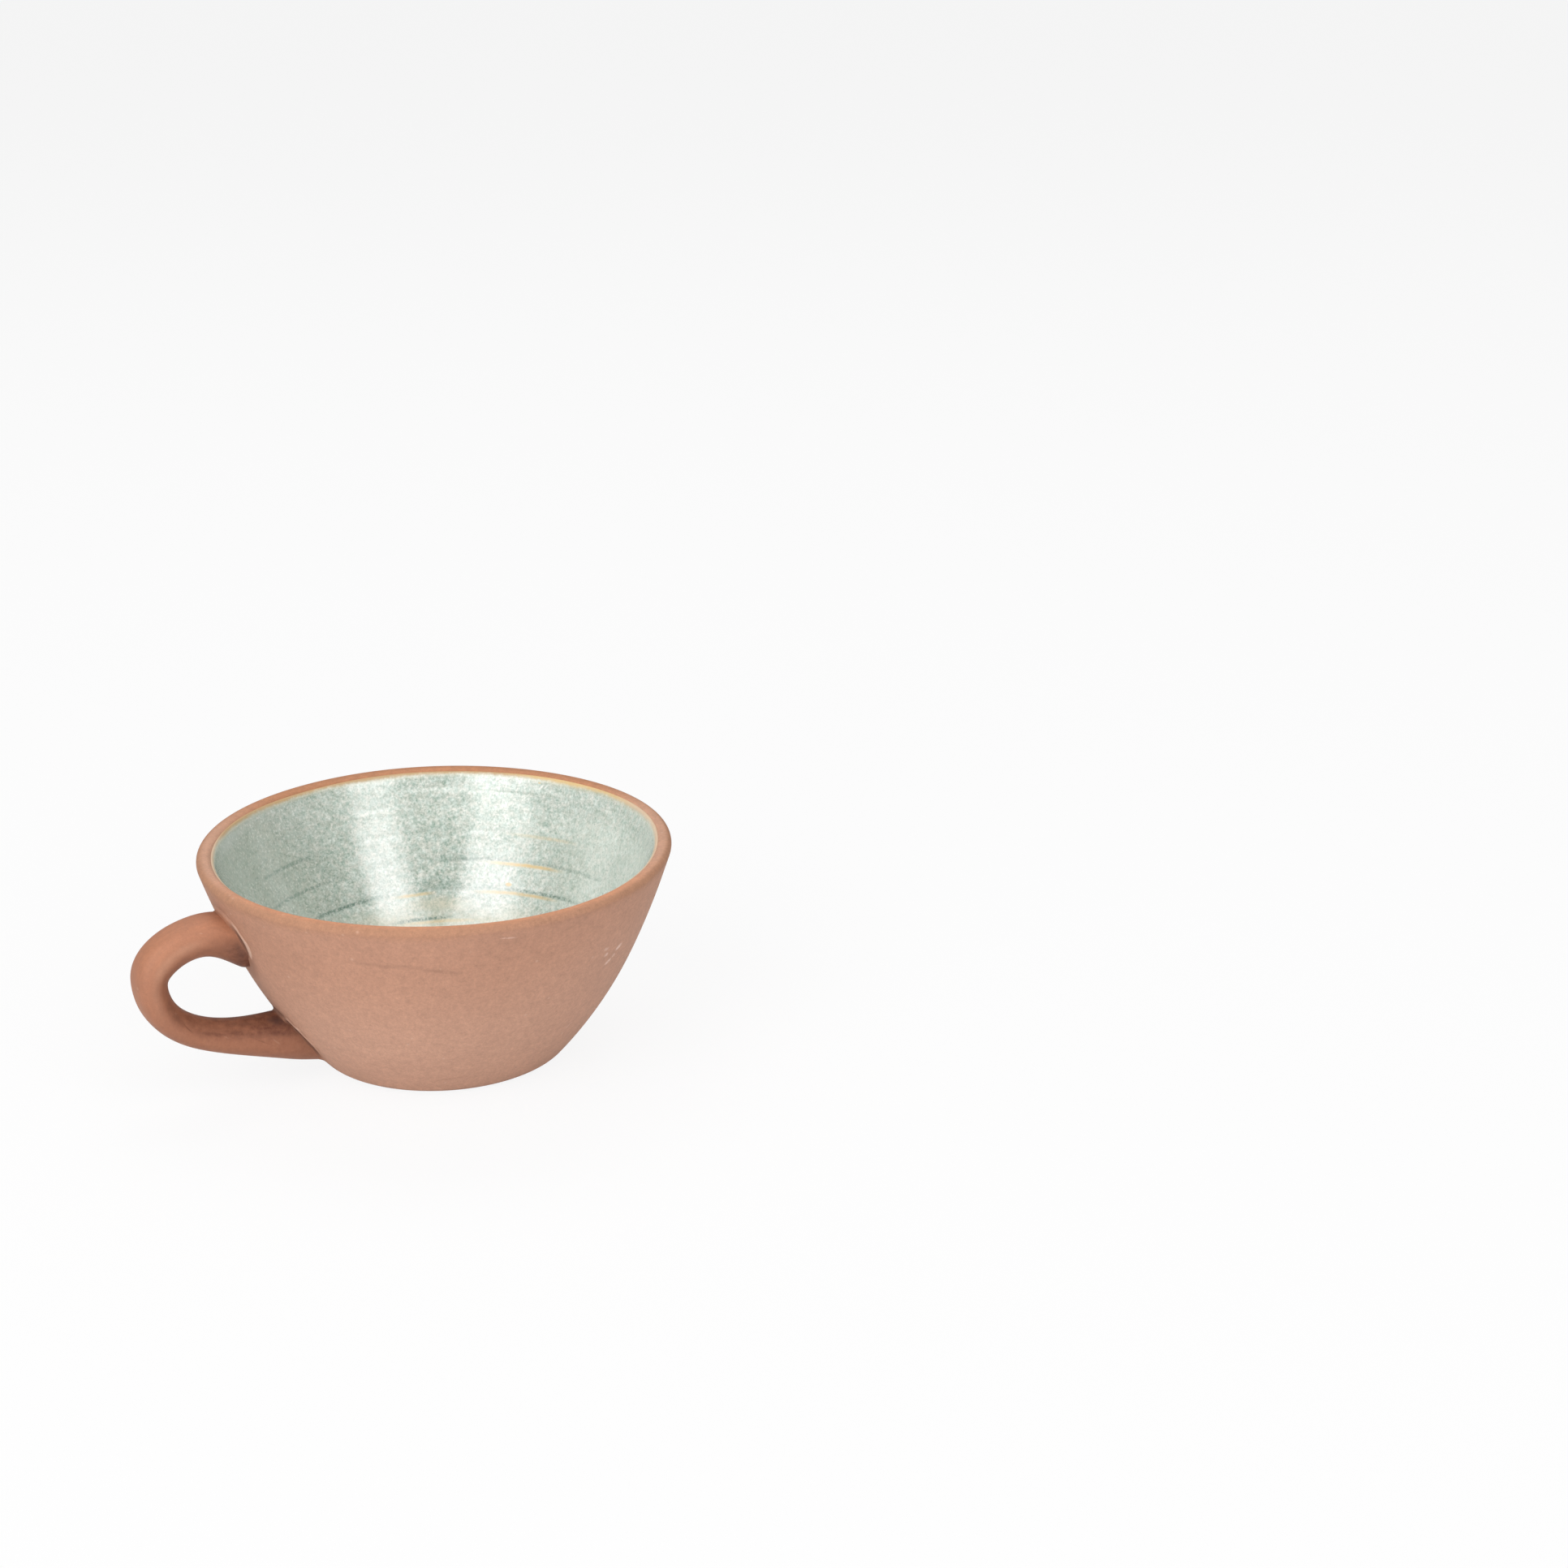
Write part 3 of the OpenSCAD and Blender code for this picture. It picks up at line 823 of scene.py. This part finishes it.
def makeBareClay():
    # Matte fired clay: warmer towards the lip, sandy grain, faint turning lines, a few smears and scratches
    c = clayTone
    material, where, grain = startClay("bare clay")
    spot = surfacePlace(c["across"], mapScale)
    height = calc("DIVIDE", axes(where)["Z"], mm)
    wavy = calc("ADD", height, product(calc("SUBTRACT", grain["Clouds"], 0.5), 3.0))
    # paler low on the wall, partly painted light from the table below
    colour = mixed(fade(wavy, c["warmFrom"], c["warmTo"]), c["low"], c["high"])
    # a painted-light patch on the right of the wall
    colour = placedMarks(colour, spot, c, "litPatches", "litTone", 0.9)
    # the lip's tone at the top, partly painted shade
    colour = mixed(fade(wavy, bowl["height"] - 4.2, bowl["height"] - 0.7), colour, c["lip"])
    flat = axes(surfacePlace(2 * pi, mapScale))
    # painted light and shade: the flash is brighter on the side towards the lamps and darker on the far side
    awayFromLamps = calc("COSINE", calc("SUBTRACT", flat["X"], pi + radians(c["flashAt"])))
    flash = mixed(fade(awayFromLamps, -0.25, -0.7), c["flashSide"], c["flash"])
    flash = mixed(fade(awayFromLamps, 0.2, 0.75), flash, c["flashFarShaded"])
    colour = mixed(fade(flat["Y"], lipTop - 1.2, lipTop + 0.6), colour, flash)
    colour = toned(colour, grain["Clouds"], 0.04)
    colour = toned(colour, grain["Grain"], 0.3, 0.3)
    lines = vectorCalc("MULTIPLY", spot, (0.03, 1, 1))
    colour = toned(colour, grainNoise(lines, *c["turning"]), 0.02)
    colour = mixed(product(grain["Pale specks"], 0.3), colour, c["pale"])
    colour = mixed(product(grain["Dark specks"], 0.25), colour, c["dark"])
    ragged = fade(grainNoise(where, *c["ragged"]), 0.3, 0.55, 0.25)
    colour = placedMarks(colour, spot, c, "smears", "dark", 0.85, ragged)
    nicked = fade(grainNoise(where, *c["nicked"]), 0.35, 0.5, 0.4)
    colour = placedMarks(colour, spot, c, "scratches", "scratch", 0.6, nicked)
    # darker on the standing edge, partly soil and partly painted shade where it meets the table, and soil
    # with painted shade round the joints
    colour = mixed(fade(height, 1.6, 0.2, 0, 0.35), colour, c["stainAndShade"])
    # the wall's soil mask, partly painted shade beside the joints and inside the loop
    stainedAndShaded = product(masked("stainAndShade"), fade(grain["Clouds"], 0.3, 0.6, 0.6))
    return clayFinish(material, mixed(stainedAndShaded, colour, c["stainAndShade"]), grain, c)


handleTone = dict(
    body=(0.385, 0.166, 0.093),
    warm=(0.425, 0.184, 0.101),
    # rubbed clay, also used as a painted highlight along the ridge
    rubbedAndSheen=(0.56, 0.34, 0.23),
    # dark grime, also used as painted shade on the handle
    grimeAndShade=(0.125, 0.042, 0.023),
    # very dark, for smudges that are partly real and partly painted shade near the joints and under the bend
    sootAndShade=(0.06, 0.03, 0.026),
    gloss=0.4,
    rough=(0.52, 0.66),
    bump=(0.0001, 0.5),
    drawn=(0.7, 3, 0.6),
    blotch=(520, 4, 0.7),
    ragged=(700, 2, 0.6),
    across=33.0,  # mm round the strap, and along it
    length=75.0,
    # marks, with turns round the strap and mm from the upper joint
    scuffs=[(76, 52.0, 1.7, 0.4, 60, 0.55), (70, 59, 0.9, 3.6, 6, 0.5), (62, 64, 1.0, 4.0, -8, 0.5),
            (90, 66.8, 1.3, 0.35, 40, 0.5), (-75, 50, 1.6, 0.4, 50, 0.5), (-85, 20, 0.7, 3.0, 5, 0.35)],
    # dark smudges, partly real and partly painted shade beside the joints and under the bend
    smudgesAndShade=[(36, 72.8, 2.6, 2.4, 0, 0.75), (30, 66.0, 1.6, 5.0, 0, 0.3), (80, 2.6, 2.4, 2.2, 0, 0.25),
             (48, 4.0, 3.0, 3.0, 0, 0.2), (66, 47, 3.0, 5.0, 0, 0.22), (-38, 72.0, 3.0, 2.2, 0, 0.7),
             (-70, 3.0, 2.4, 2.0, 0, 0.35)],
    nicks=[(92, 69.0, 0.7, 0.3, -20, 0.18), (76, 61, 0.6, 0.3, 30, 0.15), (120, 9, 0.5, 0.35, 60, 0.3),
           (-110, 14, 0.6, 0.35, 20, 0.3)],
)


def makeHandleClay():
    # Smoother, redder clay, paler on its ridge, partly rubbed and partly a painted highlight, and darker
    # inside the loop and where it meets the wall, grime with painted shade
    c = handleTone
    material, where, grain = startClay("handle clay")
    spot = surfacePlace(c["across"], c["length"])
    colour = mixed(fade(grain["Clouds"], 0.35, 0.65), c["body"], c["warm"])
    drawn = grainNoise(vectorCalc("MULTIPLY", spot, (1, 0.15, 1)), *c["drawn"])
    colour = toned(colour, drawn, 0.07)
    colour = toned(colour, grain["Grain"], 0.2, 0.3)
    wearAndSheen = fade(grain["Clouds"], 0.35, 0.6, 0.2)
    # the ridge: partly rubbed, partly a painted highlight
    colour = mixed(product(masked("ridge"), wearAndSheen, 0.35), colour, c["rubbedAndSheen"])
    colour = mixed(product(grain["Pale specks"], 0.3), colour, c["rubbedAndSheen"])
    blotch = spread(grainNoise(where, *c["blotch"]), 0.25, 0.75, 0.6, 1.3)
    patchy = product(fade(drawn, 0.3, 0.65, 0.85), blotch)
    # grime and painted shade inside the loop, beside the joints and along the lower run
    colour = mixed(product(masked("grimeAndShade"), patchy, 0.85), colour, c["grimeAndShade"])
    ragged = fade(grainNoise(where, *c["ragged"]), 0.35, 0.55, 0.3)
    colour = placedMarks(colour, spot, c, "scuffs", "grimeAndShade", 0.7, ragged)
    # smudges, partly painted shade
    colour = placedMarks(colour, spot, c, "smudgesAndShade", "sootAndShade", 0.95, ragged)
    colour = placedMarks(colour, spot, c, "nicks", "rubbedAndSheen", 0.6, ragged)
    return clayFinish(material, colour, grain, c)


slipTone = dict(
    onWall=(0.47, 0.26, 0.177),
    onHandle=(0.36, 0.165, 0.098),
    pale=(0.66, 0.47, 0.37),
    # dark crease colour, partly painted shade
    creaseShade=(0.12, 0.052, 0.035),
    gloss=0.3,
    rough=(0.7, 0.9),
    bump=(0.0002, 0.6),
)


def makeJoiningSlip():
    # Clay slip that takes the wall's tone and the handle's, paler on its bead, and dark in the crease and on
    # its inner side: a dark joint line with painted shade
    c = slipTone
    material, where, grain = startClay("joining slip")
    colour = mixed(masked("onHandle"), c["onWall"], c["onHandle"])
    colour = mixed(product(masked("pale"), 0.7), colour, c["pale"])
    # dark in the crease: a dark joint line with painted shade
    colour = mixed(product(masked("creaseShade"), 0.95), colour, c["creaseShade"])
    return clayFinish(material, toned(colour, grain["Grain"], 0.13, 0.3), grain, c)


glazeTone = dict(
    dark=(0.29, 0.385, 0.32),
    light=(0.84, 0.86, 0.82),
    deep=(0.15, 0.235, 0.185),
    # olive: painted shade on the side of the inside that only the weaker lamp lights
    oliveShade=(0.25, 0.29, 0.225),
    # pale: painted light on the side of the inside that the stronger lamp lights
    pale=(0.74, 0.8, 0.72),
    crystal=(0.9, 0.9, 0.85),
    amber=(0.70, 0.495, 0.19),
    cream=(0.66, 0.59, 0.41),
    # pale sheen near the lip on the left: a painted reflection
    sheenTone=(0.66, 0.68, 0.67),
    hem=(0.50, 0.31, 0.135),  # along the edge, to the right of its far side, and at its two ends
    # hemAmber is brighter: partly real amber, partly a painted highlight on the edge
    hemAmber=(0.69, 0.475, 0.20),
    hemPale=(0.69, 0.50, 0.33),
    cool=(0.955, 1.01, 0.99),  # tints that drift through the flecks
    warm=(1.03, 1.0, 0.965),
    ior=1.8,
    coatRough=0.14,
    bump=(0.00003, 0.2),
    flecks=[(1200, 2, 0.6, 0.45), (2400, 1, 0.5, 0.13), (520, 2, 0.6, 0.42)],  # with shares
    tints=(640, 1, 0.5),
    patches=(0.13, 3, 0.6),
    floorPatches=(70, 3, 0.6),
    sparks=(1600, 0, 0.5),
    dots=(1300, 2, 0.6),
    drift=(55, 3, 0.6),
    across=300.0,  # mm round the bowl at a middle height
    floorFrom=38,  # mm below the lip where the wall passes into the floor
    floorTo=48,
    lineHalf=0.85,  # half width of the dark line along the spiral, and of the amber one
    ridgeHalf=0.8,
    # sides of the bowl that are paler where the stronger lamp lights them (painted light), more olive where
    # only the weaker lamp lights them (painted shade), or wide in the hem: turns where each begins, is full,
    # is full for the last time, and ends
    litSide=(-80, -50, 10, 40),
    oliveShadeSide=(84, 128, 165, 185),
    wideSide=(-40, 0, 15, 40),
    # marks, with mm below the lip
    # a pale patch near the lip on the left: a painted reflection
    paintedSheens=[(140, 3.0, 14, 3.0, 0, 0.3)],
    creams=[(66, 37.5, 14, 3.2, 0, 0.5)],
    # the first cloud, a dark band just under the lip, is partly glaze tone and partly a painted break in the
    # reflection there
    clouds=[(43, 5.0, 17, 0.9, 0, 0.3), (61, 24, 11, 2.6, 0, 0.3), (65, 31.5, 10, 3.2, 0, 0.3),
            (24, 8, 16, 5, 0, 0.18), (100, 33, 14, 3, 0, 0.25), (-100, 27, 22, 4, 0, 0.3),
            (-40, 34, 18, 4, 0, 0.3), (160, 15, 24, 4, 0, 0.25)],
    nicks=[(33.6, 3.0, 1.4, 0.36, 55, 0.8), (32.2, 2.8, 1.0, 0.3, 55, 0.6)],
    drips=[(40.4, 31.5, 1.35, 0.75, 0, 0.95), (34.4, 1.9, 0.5, 0.4, 0, 0.6),
           (-80, 33.0, 0.8, 0.6, 0, 0.8), (150, 40.0, 0.8, 0.5, 0, 0.7)],
    # stretches along the spiral: turn and half length in degrees, mm below the lip, strength
    pools=[(118, 26, 26.4, 0.75), (101, 20, 34.6, 1.0), (72, 16, 41.6, 1.0), (26, 22, 33.0, 0.85),
           (10, 9, 24.2, 0.5), (52, 16, 25.0, 0.6), (24, 18, 24.2, 0.5), (60, 24, 33.8, 0.3),
           (50, 30, 16.5, 0.1), (118, 15, 17.9, 0.8), (60, 40, 7.8, 0.1), (-60, 40, 29.0, 0.7),
           (-120, 30, 20.0, 0.7), (-20, 25, 38.0, 0.8), (-140, 35, 45.0, 0.8), (160, 30, 52.0, 0.7)],
    breaks=[(35.4, 17, 25.2, 0.95), (36, 20, 33.7, 0.8), (74, 9, 34.4, 0.7), (31, 16, 16.3, 0.35),
            (66, 20, 41.8, 0.5), (-50, 22, 21.5, 0.8), (-110, 18, 36.5, 0.8), (-150, 14, 27.5, 0.6),
            (-5, 12, 48.0, 0.6)],
    stretchTall=4.0,  # half height and softness of a stretch
    stretchSoft=0.7,
)


def alongSpiral(spot, c, stretches):
    # Strength along the spiral: the largest of soft ovals, each laid over its stretch
    strength = 0.0
    for turn, half, s, level in c[stretches]:
        mask = markAt(spot, c, turn, s, half / 360 * c["across"], c["stretchTall"], c["stretchSoft"])
        strength = calc("MAXIMUM", strength, product(mask, level))
    return strength


def makeGreenGlaze():
    # Speckled celadon: pale flecks in deeper green, dark where it pools along the spiral, amber where it
    # breaks thin at the edge and on the ridge
    c, g = glazeTone, glaze
    material = newMaterial("green glaze")
    where = objectPlace()
    spot = surfacePlace(c["across"], mapScale)
    flat = axes(surfacePlace(360, mapScale))
    turn, below = calc("SUBTRACT", flat["X"], 180), flat["Y"]
    # distance below the spiral, as in the shape
    fallen = calc("DIVIDE", calc("SUBTRACT", below, g["ringAt"]), g["ringPitch"])
    gone = calc("DIVIDE", calc("SUBTRACT", turn, degrees(g["ringAround"])), 360)
    phase = calc("SUBTRACT", fallen, gone)
    phase = calc("SUBTRACT", phase, calc("ROUND", phase))
    drift = calc("SUBTRACT", grainNoise(where, *c["drift"]), 0.5)
    away = calc("ADD", product(phase, g["ringPitch"]), product(drift, 1.2))
    # flecks, patches drawn out round the wall, and green that gathers above each turn
    fine = layered(where, c["flecks"])
    colour = mixed(spread(fine, 0.33, 0.67), c["dark"], c["light"])
    tint = mixed(spread(grainNoise(where, *c["tints"]), 0.35, 0.65), c["cool"], c["warm"])
    colour = mixed(1.0, colour, tint, "MULTIPLY")
    onWall = fade(below, c["floorTo"], c["floorFrom"])
    onFloor = fade(below, c["floorFrom"], c["floorTo"])
    drawn = vectorCalc("MULTIPLY", spot, (0.5, 1, 1))
    patch = calc("ADD", product(grainNoise(drawn, *c["patches"]), onWall),
                 product(grainNoise(where, *c["floorPatches"]), onFloor))
    gather = product(fade(away, -3.6, -0.2), fade(away, 0.3, -0.1), fade(patch, 0.6, 0.4), 0.06)
    colour = mixed(calc("ADD", fade(patch, 0.58, 0.36, 0, 0.08), gather), colour, c["deep"])
    # clouds of deeper green; the first is partly a painted break in the reflection under the lip
    colour = placedMarks(colour, spot, c, "clouds", "deep", 0.9, spread(fine, 0.6, 0.35, 0.5, 1.0))
    # painted light: paler on the side that the stronger lamp lights
    pale = product(within(turn, *c["litSide"]), fade(below, 5, 12), onWall, 0.3)
    colour = mixed(pale, colour, c["pale"])
    # painted shade: more olive on the side that only the weaker lamp lights
    colour = mixed(product(within(turn, *c["oliveShadeSide"]), onWall, 0.6), colour, c["oliveShade"])
    spark = grainNoise(where, *c["sparks"])
    colour = mixed(fade(spark, 0.38, 0.24, 0, 0.28), colour, c["deep"])
    colour = mixed(fade(spark, 0.62, 0.76, 0, 0.34), colour, c["crystal"])
    # a painted reflection near the lip on the left
    colour = placedMarks(colour, spot, c, "paintedSheens", "sheenTone", 0.9)
    colour = placedMarks(colour, spot, c, "creams", "cream", 0.9, spread(fine, 0.35, 0.6, 0.5, 1.0))
    creamy = product(fade(below, 35, 44), fade(patch, 0.35, 0.55, 0.2, 0.55))
    colour = mixed(creamy, colour, c["cream"])
    # lines along the spiral
    dotted = fade(grainNoise(where, *c["dots"]), 0.36, 0.58, 0.2)
    line = fade(calc("ABSOLUTE", away), c["lineHalf"], 0.1)
    colour = mixed(product(line, dotted, alongSpiral(spot, c, "pools")), colour, c["deep"])
    ridge = fade(calc("ABSOLUTE", calc("SUBTRACT", away, g["ridgeBelow"])), c["ridgeHalf"], 0.1)
    broken = product(ridge, alongSpiral(spot, c, "breaks"), spread(fine, 0.3, 0.6, 0.6, 1.1))
    colour = mixed(broken, colour, c["amber"])
    colour = placedMarks(colour, spot, c, "drips", "amber", 0.6)
    colour = placedMarks(colour, spot, c, "nicks", "crystal", 0.6)
    # the edge: amber, wider on one side, with a pale hem
    wide = product(within(turn, *c["wideSide"]), 0.15)
    frayed = calc("ADD", product(drift, 1.4), product(calc("SUBTRACT", fine, 0.5), 1.2))
    edge = calc("DIVIDE", calc("ADD", below, frayed), calc("ADD", wide, 0.85))
    # brighter amber to the right of the far side, partly a painted highlight
    hem = mixed(fade(turn, 50, 32), c["hem"], c["hemAmber"])
    hem = mixed(calc("MAXIMUM", fade(turn, 12, -6), fade(turn, 135, 155)), hem, c["hemPale"])
    colour = mixed(fade(edge, 2.6, 0.8, 0, 0.5), colour, c["cream"])
    colour = mixed(fade(edge, 1.5, 0.3, 0, 0.95), colour, hem)
    dry = fade(edge, 2.0, 0.6)
    rough = calc("ADD", fade(fine, 0.3, 0.7, 0.17, 0.25), product(dry, 0.35))
    return dressed(material, {"Base Color": colour, "Roughness": rough, "Normal": bumped(fine, *c["bump"]),
                              "IOR": c["ior"], "Coat Weight": calc("SUBTRACT", 1.0, dry),
                              "Coat Roughness": c["coatRough"]})


# Build the cup

soilAndShade = dict(
    most=0.62,
    run=2.8,  # mm over which it thins out beside a joint
    least=0.25,  # share of it on a joint's outer side
    # inside the loop the darkening is painted shade where the handle shades the wall
    loopShade=0.4,  # share of it inside the loop, its half width there, and the heights it fades between
    loopHalf=6.5,
    loopLow=(15, 21),
    loopHigh=(34, 41),
)


def wallSoilAndShade(rows):
    # Soil with painted shade on the wall: bells of the distance to points of both joints, most on their
    # inner sides, and a patch of painted shade inside the loop, whichever is more
    k = soilAndShade
    joints = np.concatenate([handleSkin(meet, sectionTurn) for meet in (upperMeet, lowerMeet)])[::4]
    shares = k["least"] + (1 - k["least"]) * smooth(-np.cos(sectionTurn), -0.2, 0.7)
    beside = np.stack([share * bell(np.linalg.norm(rows - p, axis=-1), k["run"])
                       for p, share in zip(joints, np.tile(shares, 2)[::4])])
    x, y, z = np.moveaxis(rows, -1, 0)
    loopShade = k["loopShade"] * bell(y, k["loopHalf"]) * smooth(-x, 20, 30)
    loopShade = loopShade * smooth(z, *k["loopLow"]) * (1 - smooth(z, *k["loopHigh"]))
    return k["most"] * np.maximum(beside.max(0), loopShade)


bowlPiece, bowlRows = makeBowl()
pointMask(bowlPiece, "stainAndShade", wallSoilAndShade(bowlRows), 2)
settle(bowlPiece, "cup_body", makeBareClay())
settle(makeGlaze(), "glaze_lining", makeGreenGlaze())
settle(makeHandle(), "handle", makeHandleClay())
slipFinish = makeJoiningSlip()
blunt = bluntEnd(upperMeet, sectionTurn)
settle(makeSlip("upper_slip", upperMeet, blunt), "upper_slip_seam", slipFinish)
settle(makeSlip("lower_slip", lowerMeet, 0 * blunt), "lower_slip_seam", slipFinish)
print("cup built")


# Floor, light and camera

stage = dict(
    floorZ=-0.00005,
    levelR=3.0,  # in m: the floor is level as far as this, then sweeps up to a low wall
    wallR=6.0,
    wallHigh=1.35,
    around=96,
    floorTone=0.8,
    floorGlow=1.0,
    floorGlowShare=0.88,
    fill=0.28,
)

lamps = {
    # turn round the cup and height in degrees, distance, width, height in m, watts, colour if not white
    "left box": (-154, 38, 1.5, 1.0, 1.7, 10.6),
    "left heart": (-152, 36, 1.45, 0.75, 0.6, 2.4, (1, 0.94, 1)),
    "right box": (-80, 42, 1.5, 0.74, 1.5, 7.6),
    "right heart": (-79, 34, 1.45, 0.42, 0.7, 1.3, (1, 0.94, 1)),
    "left wing": (178, 36, 1.55, 0.42, 1.0, 1.2),
    "front fill": (-128, 8, 1.5, 1.8, 0.5, 4.8),
    "back panel": (66, 62, 1.5, 1.4, 0.8, 6.8),
}

# the camera: place in mm, angles in degrees, focal length in mm
view = {"place": (-304.03, -670.59, 331.09), "down": 19.406, "turn": -31.6, "roll": -0.149, "lens": 67.54}


def makeFloor():
    # A wide pale floor that the camera sees partly as its own light, so that it stays pale with a shadow:
    # a level disc, then a quarter of an ellipse that rises to a low wall, turned round the axis
    k = stage
    rise = np.linspace(0, pi / 2, 24)
    r = np.concatenate([[0.01, 0.5], k["levelR"] + (k["wallR"] - k["levelR"]) * np.sin(rise)])
    z = k["floorZ"] + np.concatenate([[0, 0], k["wallHigh"] * (1 - np.cos(rise))])
    count = k["around"]
    around = np.linspace(0, 2 * pi, count, endpoint=False)
    rGrid, turn = np.meshgrid(r, around, indexing="ij")
    points = turned(rGrid, np.broadcast_to(z[:, None], rGrid.shape), turn)
    ring, step = np.meshgrid(np.arange(len(r) - 1), np.arange(count), indexing="ij")
    here, after = ring * count + step, ring * count + (step + 1) % count
    quads = np.stack([here, here + count, after + count, after], -1).reshape(-1, 4).tolist()
    mesh = bpy.data.meshes.new("floor")
    mesh.from_pydata(points.reshape(-1, 3).tolist(), [], quads + [list(range(count))])
    mesh.shade_smooth()
    floor = newObject("floor", mesh)
    mesh.materials.append(newMaterial("floor"))
    matt = addNode("BsdfDiffuse", {"Color": (*[k["floorTone"]] * 3, 1)})
    glow = addNode("Emission", {"Strength": k["floorGlow"]})
    path = addNode("LightPath")
    seen = calc("MAXIMUM", path["Is Camera Ray"], path["Is Glossy Ray"])
    shares = {0: product(seen, k["floorGlowShare"]), 1: matt[0], 2: glow[0]}
    both = addNode("MixShader", shares)
    addNode("OutputMaterial", {"Surface": both[0]})


def makeLamp(name, turn, lift, distance, width, height, watts, tone=(1, 1, 1)):
    # A flat soft box that looks at the middle of the cup
    data = bpy.data.lights.new(name, "AREA")
    data.shape = "RECTANGLE"
    data.size, data.size_y, data.energy = width, height, watts
    data.color = tone
    lamp = newObject(name, data)
    turn, lift = radians(turn), radians(lift)
    way = Vector((cos(turn) * cos(lift), sin(turn) * cos(lift), sin(lift)))
    lamp.location = way * distance
    lamp.rotation_euler = (-way).to_track_quat("-Z", "Y").to_euler()


def makeCamera():
    # Tilted down, turned, rolled about its own axis, and moved to its place
    data = bpy.data.cameras.new("camera")
    data.sensor_width, data.lens = 36, view["lens"]
    camera = newObject("camera", data)
    aim = Euler((radians(90 - view["down"]), 0, radians(view["turn"]))).to_matrix().to_4x4()
    roll = Matrix.Rotation(radians(view["roll"]), 4, "Z")
    camera.matrix_world = Matrix.Translation(Vector(view["place"]) * mm) @ aim @ roll
    bpy.context.scene.camera = camera


makeFloor()
for name, values in lamps.items():
    makeLamp(name, *values)
world = bpy.data.worlds.new("fill")
world.use_nodes = True
background = world.node_tree.nodes["Background"].inputs
background["Strength"].default_value = stage["fill"]
background["Color"].default_value = (1, 1, 1, 1)
bpy.context.scene.world = world
bpy.context.scene.view_settings.view_transform = "Standard"
makeCamera()
print("stage set")
